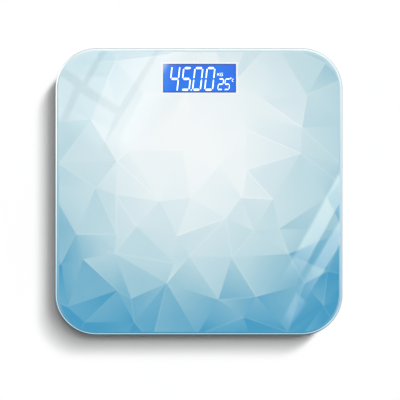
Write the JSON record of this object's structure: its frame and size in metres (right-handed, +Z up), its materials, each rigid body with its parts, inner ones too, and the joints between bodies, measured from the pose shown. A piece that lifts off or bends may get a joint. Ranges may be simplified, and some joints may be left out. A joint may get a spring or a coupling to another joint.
{
  "type": "bathroom scale",
  "caption": "Square glass-platform body scale with rounded corners, a backlit display under the glass, floating load-cell feet, a unit button and a hinged battery door.",
  "frame": {"origin": "on the floor, under the centre of the platform", "axes": "+Z up, +Y towards the display end, +X to the right of a user who faces the display"},
  "size_m": [0.28, 0.28, 0.0245],
  "materials": {
    "tempered_glass": "polished clear glass with a faint green edge",
    "printed_film": "pale blue faceted print, bonded behind the glass",
    "white_abs": "fine moulded texture",
    "grey_abs": "fine moulded texture",
    "bond_foam": "matt foam and adhesive",
    "foot_rubber": "matt anti-slip rubber",
    "cell_steel": "rolled and stamped",
    "gauge_silicone": "soft white potting",
    "cable_jacket": "satin jacket",
    "circuit_board": "green solder mask",
    "dark_resin": "cured resin",
    "lcd_glass": "backlit blue display glass",
    "polarizer": "smooth film",
    "light_guide": "clear acrylic",
    "led_body": "moulded package",
    "zebra_rubber": "striped conductive elastomer",
    "nickel_plate": "nickel plate",
    "battery_sleeve": "printed sleeve, unmarked",
    "red_insulation": "satin insulation",
    "black_insulation": "satin insulation"
  },
  "bodies": {
    "platform": {"glass_platform": "tempered_glass", "print_film": "printed_film", "rim_seal": "bond_foam", "base_shell": "white_abs", "backlight_guide": "light_guide", "backlight_led_left": "led_body", "backlight_led_right": "led_body", "battery_cell_far": "battery_sleeve", "battery_cell_near": "battery_sleeve", "battery_lead_black": "black_insulation", "battery_lead_red": "red_insulation", "board_screw_1": "nickel_plate", "board_screw_2": "nickel_plate", "board_screw_3": "nickel_plate", "board_screw_4": "nickel_plate", "bond_disc_display_left": "bond_foam", "bond_disc_display_right": "bond_foam", "bond_disc_heel_left": "bond_foam", "bond_disc_heel_right": "bond_foam", "bridge_contact": "nickel_plate", "buffer_capacitor": "nickel_plate", "cell_cable_display_left": "cable_jacket", "cell_cable_display_right": "cable_jacket", "cell_cable_heel_left": "cable_jacket", "cell_cable_heel_right": "cable_jacket", "controller_blob": "dark_resin", "crystal_can": "nickel_plate", "lcd_cell": "lcd_glass", "lcd_frame": "white_abs", "lcd_polarizer": "polarizer", "main_board": "circuit_board", "spring_bridge": "nickel_plate", "spring_negative": "nickel_plate", "tact_switch": "dark_resin", "terminal_negative": "nickel_plate", "terminal_positive": "nickel_plate", "thermistor_bead": "dark_resin", "zebra_strip": "zebra_rubber"},
    "foot_display_left": {"foot_cup_display_left": "grey_abs", "foot_pad_display_left": "foot_rubber", "load_cell_display_left": "cell_steel", "strain_gauge_display_left": "gauge_silicone"},
    "foot_display_right": {"foot_cup_display_right": "grey_abs", "foot_pad_display_right": "foot_rubber", "load_cell_display_right": "cell_steel", "strain_gauge_display_right": "gauge_silicone"},
    "foot_heel_left": {"foot_cup_heel_left": "grey_abs", "foot_pad_heel_left": "foot_rubber", "load_cell_heel_left": "cell_steel", "strain_gauge_heel_left": "gauge_silicone"},
    "foot_heel_right": {"foot_cup_heel_right": "grey_abs", "foot_pad_heel_right": "foot_rubber", "load_cell_heel_right": "cell_steel", "strain_gauge_heel_right": "gauge_silicone"},
    "unit_key": {"unit_button": "grey_abs", "switch_plunger": "red_insulation"},
    "battery_door": {"battery_door": "white_abs", "door_foam": "bond_foam"}
  },
  "joints": [
    {"name": "foot_float_display_left", "type": "slide", "parent": "platform", "child": "foot_display_left", "axis": [0, 0, 1], "range_m": [-0.0008, 0.0004]},
    {"name": "foot_float_display_right", "type": "slide", "parent": "platform", "child": "foot_display_right", "axis": [0, 0, 1], "range_m": [-0.0008, 0.0004]},
    {"name": "foot_float_heel_left", "type": "slide", "parent": "platform", "child": "foot_heel_left", "axis": [0, 0, 1], "range_m": [-0.0008, 0.0004]},
    {"name": "foot_float_heel_right", "type": "slide", "parent": "platform", "child": "foot_heel_right", "axis": [0, 0, 1], "range_m": [-0.0008, 0.0004]},
    {"name": "unit_key_press", "type": "slide", "parent": "platform", "child": "unit_key", "axis": [0, 0, 1], "range_m": [0, 0.00035], "stiffness_N_per_m": 4000},
    {"name": "battery_door_swing", "type": "hinge", "parent": "platform", "child": "battery_door", "pos_m": [0, 0.0741, 0.0036], "axis": [1, 0, 0], "range_deg": [0, 110]}
  ]
}
